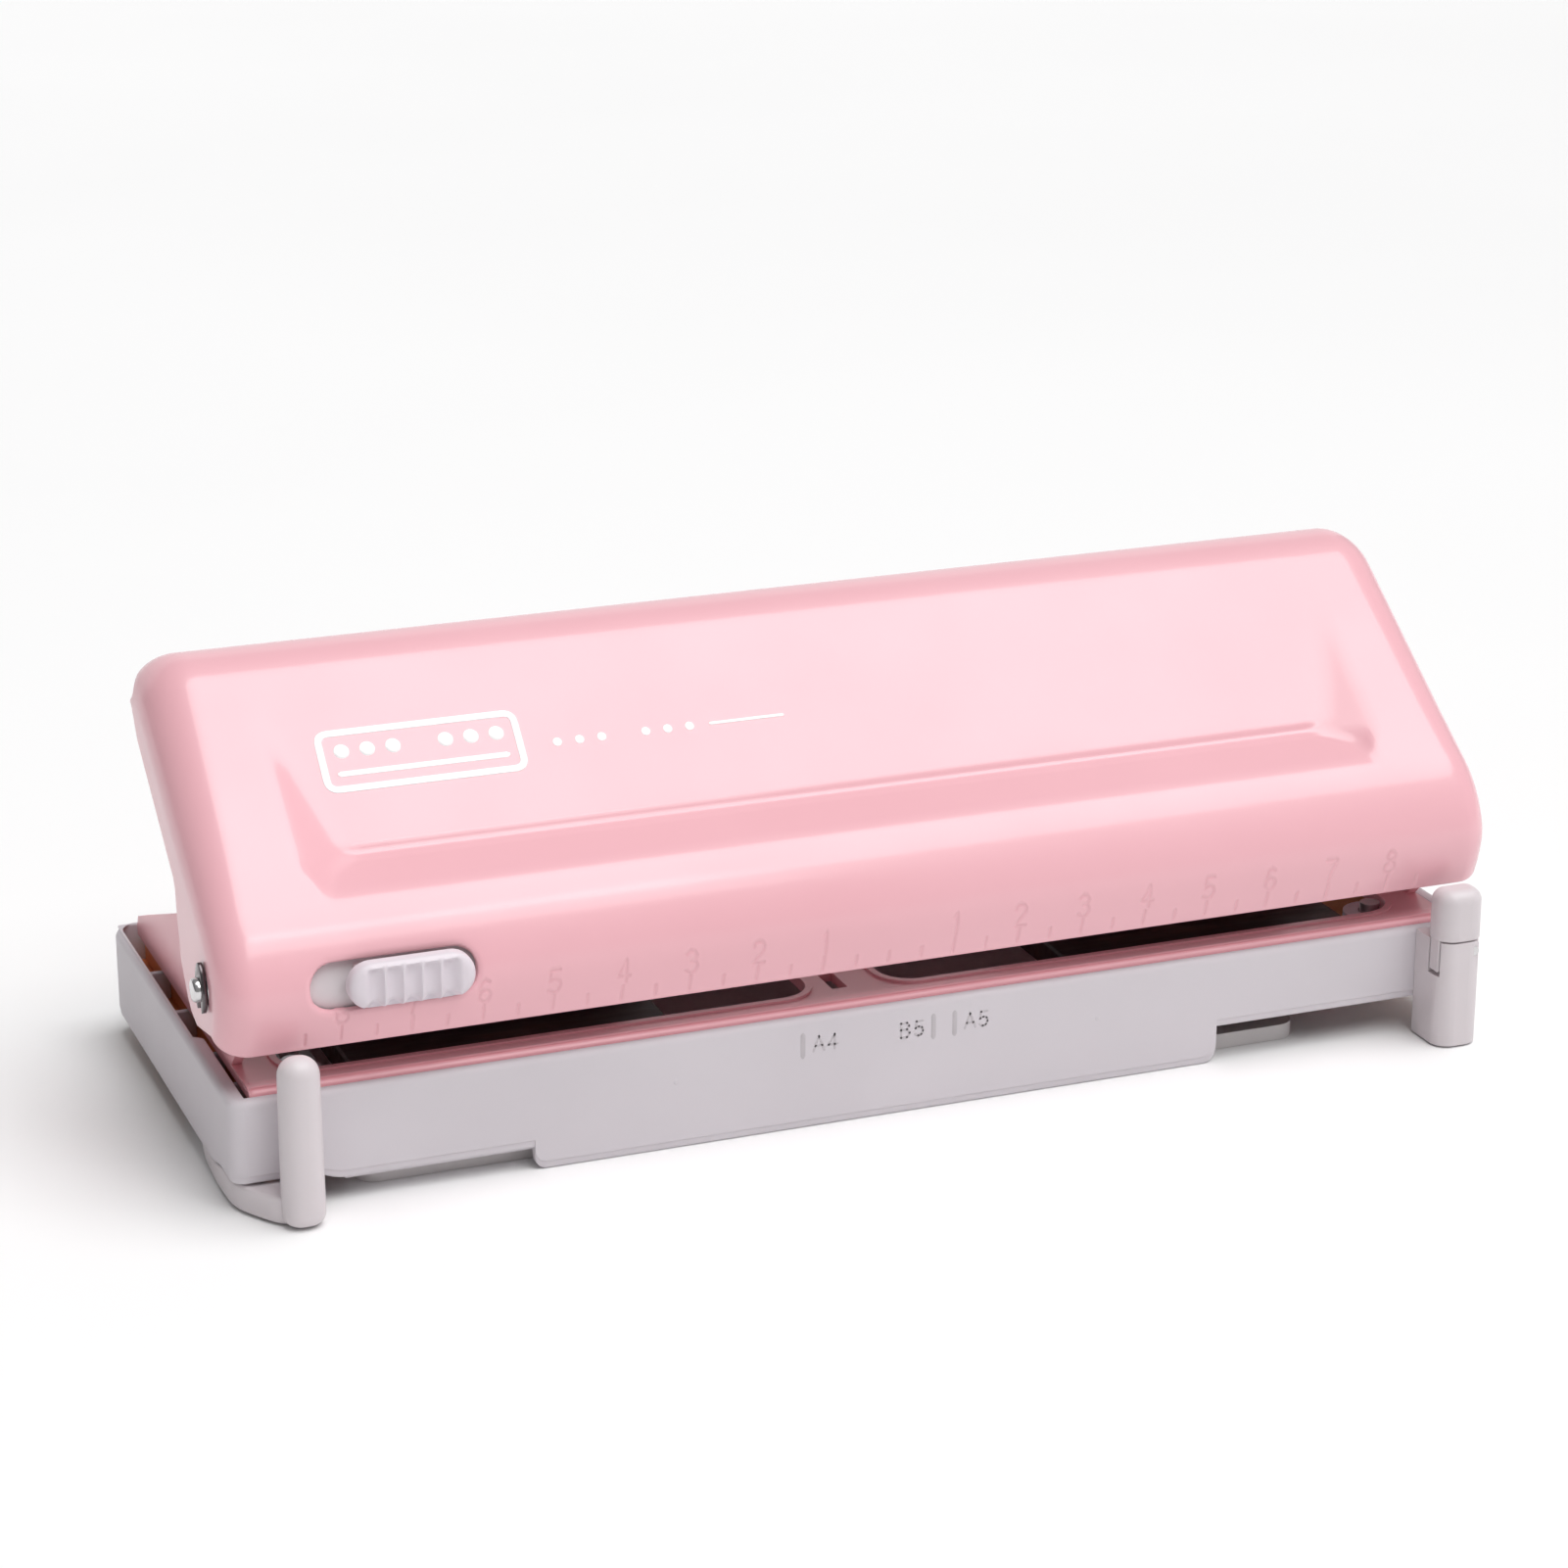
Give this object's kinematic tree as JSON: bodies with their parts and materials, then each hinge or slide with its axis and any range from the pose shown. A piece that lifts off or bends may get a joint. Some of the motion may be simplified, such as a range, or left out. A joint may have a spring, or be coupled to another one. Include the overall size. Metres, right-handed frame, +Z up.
{
  "type": "six-hole organiser punch",
  "caption": "Desk punch for ring-binder organiser pages: sheet-steel press handle over a slotted base plate and moulded tray, sliding punch heads, fold-out paper stops, handle lock.",
  "frame": {"origin": "on the table plane under the zero of the handle's centimetre scale, at the middle of the punch", "axes": "+X along the punch to the right as seen from the paper slot, +Y away from the paper slot, +Z up; paper goes in along +Y"},
  "size_m": [0.1976, 0.081, 0.067],
  "materials": {
    "pink_paint": "semi-gloss baked enamel",
    "white_plastic": "fine satin moulded plastic",
    "cover_plastic": "fine satin moulded plastic",
    "lever_plastic": "satin moulded plastic",
    "shaft_chrome": "bright nickel plate",
    "die_black": "oiled black oxide",
    "zinc_steel": "zinc plated",
    "tool_steel": "ground and polished",
    "spring_steel": "drawn spring wire"
  },
  "bodies": {
    "base": {"tray": "white_plastic", "base_plate": "pink_paint", "base_screws": "zinc_steel", "pivot_shaft": "shaft_chrome", "pivot_bushes": "zinc_steel", "pivot_clips": "shaft_chrome", "head_rail": "shaft_chrome", "stop_pivot_screw": "zinc_steel", "stop_block_right": "lever_plastic", "stop_cap_pin": "shaft_chrome"},
    "handle": {"handle_shell": "pink_paint", "presser_rod": "shaft_chrome", "presser_brackets": "zinc_steel"},
    "lock": {"lock_slider": "lever_plastic"},
    "left_head": {"left_die_bar": "die_black", "left_head_frame": "zinc_steel", "left_head_screws": "zinc_steel", "left_pin_spring_1": "spring_steel", "left_pin_spring_2": "spring_steel", "left_pin_spring_3": "spring_steel"},
    "right_head": {"right_die_bar": "die_black", "right_head_frame": "zinc_steel", "right_head_screws": "zinc_steel", "right_pin_spring_1": "spring_steel", "right_pin_spring_2": "spring_steel", "right_pin_spring_3": "spring_steel"},
    "stop_arm": {"stop_arm_left": "lever_plastic"},
    "stop_cap": {"stop_cap_right": "lever_plastic"},
    "cover": {"chip_cover": "cover_plastic"},
    "left_pin_1": {"left_punch_pin_1": "tool_steel", "left_pin_clip_1": "spring_steel"},
    "left_pin_2": {"left_punch_pin_2": "tool_steel", "left_pin_clip_2": "spring_steel"},
    "left_pin_3": {"left_punch_pin_3": "tool_steel", "left_pin_clip_3": "spring_steel"},
    "right_pin_1": {"right_punch_pin_1": "tool_steel", "right_pin_clip_1": "spring_steel"},
    "right_pin_2": {"right_punch_pin_2": "tool_steel", "right_pin_clip_2": "spring_steel"},
    "right_pin_3": {"right_punch_pin_3": "tool_steel", "right_pin_clip_3": "spring_steel"}
  },
  "joints": [
    {"name": "handle_press", "type": "hinge", "parent": "base", "child": "handle", "pos_m": [0, -0.026, 0.031], "axis": [-1, 0, 0], "range_deg": [0, 20], "stiffness_Nm_per_rad": 0.9, "springref_deg": -11.46},
    {"name": "lock_slide", "type": "slide", "parent": "handle", "child": "lock", "axis": [-1, 0, 0], "range_m": [0, 0.0044]},
    {"name": "left_head_slide", "type": "slide", "parent": "base", "child": "left_head", "axis": [1, 0, 0], "range_m": [0, 0.0095]},
    {"name": "right_head_slide", "type": "slide", "parent": "base", "child": "right_head", "axis": [-1, 0, 0], "range_m": [0, 0.0095]},
    {"name": "stop_arm_swing", "type": "hinge", "parent": "base", "child": "stop_arm", "pos_m": [-0.086, 0.002, 0.0016], "axis": [0, 0, -1], "range_deg": [0, 90]},
    {"name": "stop_cap_fold", "type": "hinge", "parent": "base", "child": "stop_cap", "pos_m": [0.0912, -0.0383, 0.0151], "axis": [0, 1, 0], "range_deg": [0, 90]},
    {"name": "cover_slide", "type": "slide", "parent": "base", "child": "cover", "axis": [1, 0, 0], "range_m": [0, 0.06]},
    {"name": "left_pin_1_drop", "type": "slide", "parent": "left_head", "child": "left_pin_1", "axis": [0, 0, -1], "range_m": [0, 0.0061], "deforming": ["left_pin_spring_1"]},
    {"name": "left_pin_2_drop", "type": "slide", "parent": "left_head", "child": "left_pin_2", "axis": [0, 0, -1], "range_m": [0, 0.0061], "deforming": ["left_pin_spring_2"]},
    {"name": "left_pin_3_drop", "type": "slide", "parent": "left_head", "child": "left_pin_3", "axis": [0, 0, -1], "range_m": [0, 0.0061], "deforming": ["left_pin_spring_3"]},
    {"name": "right_pin_1_drop", "type": "slide", "parent": "right_head", "child": "right_pin_1", "axis": [0, 0, -1], "range_m": [0, 0.0061], "deforming": ["right_pin_spring_1"]},
    {"name": "right_pin_2_drop", "type": "slide", "parent": "right_head", "child": "right_pin_2", "axis": [0, 0, -1], "range_m": [0, 0.0061], "deforming": ["right_pin_spring_2"]},
    {"name": "right_pin_3_drop", "type": "slide", "parent": "right_head", "child": "right_pin_3", "axis": [0, 0, -1], "range_m": [0, 0.0061], "deforming": ["right_pin_spring_3"]}
  ],
  "couplings": [
    {"joint": "left_pin_1_drop", "follows": "handle_press", "m_per_rad": 0.017189},
    {"joint": "left_pin_2_drop", "follows": "handle_press", "m_per_rad": 0.017189},
    {"joint": "left_pin_3_drop", "follows": "handle_press", "m_per_rad": 0.017189},
    {"joint": "right_pin_1_drop", "follows": "handle_press", "m_per_rad": 0.017189},
    {"joint": "right_pin_2_drop", "follows": "handle_press", "m_per_rad": 0.017189},
    {"joint": "right_pin_3_drop", "follows": "handle_press", "m_per_rad": 0.017189}
  ]
}
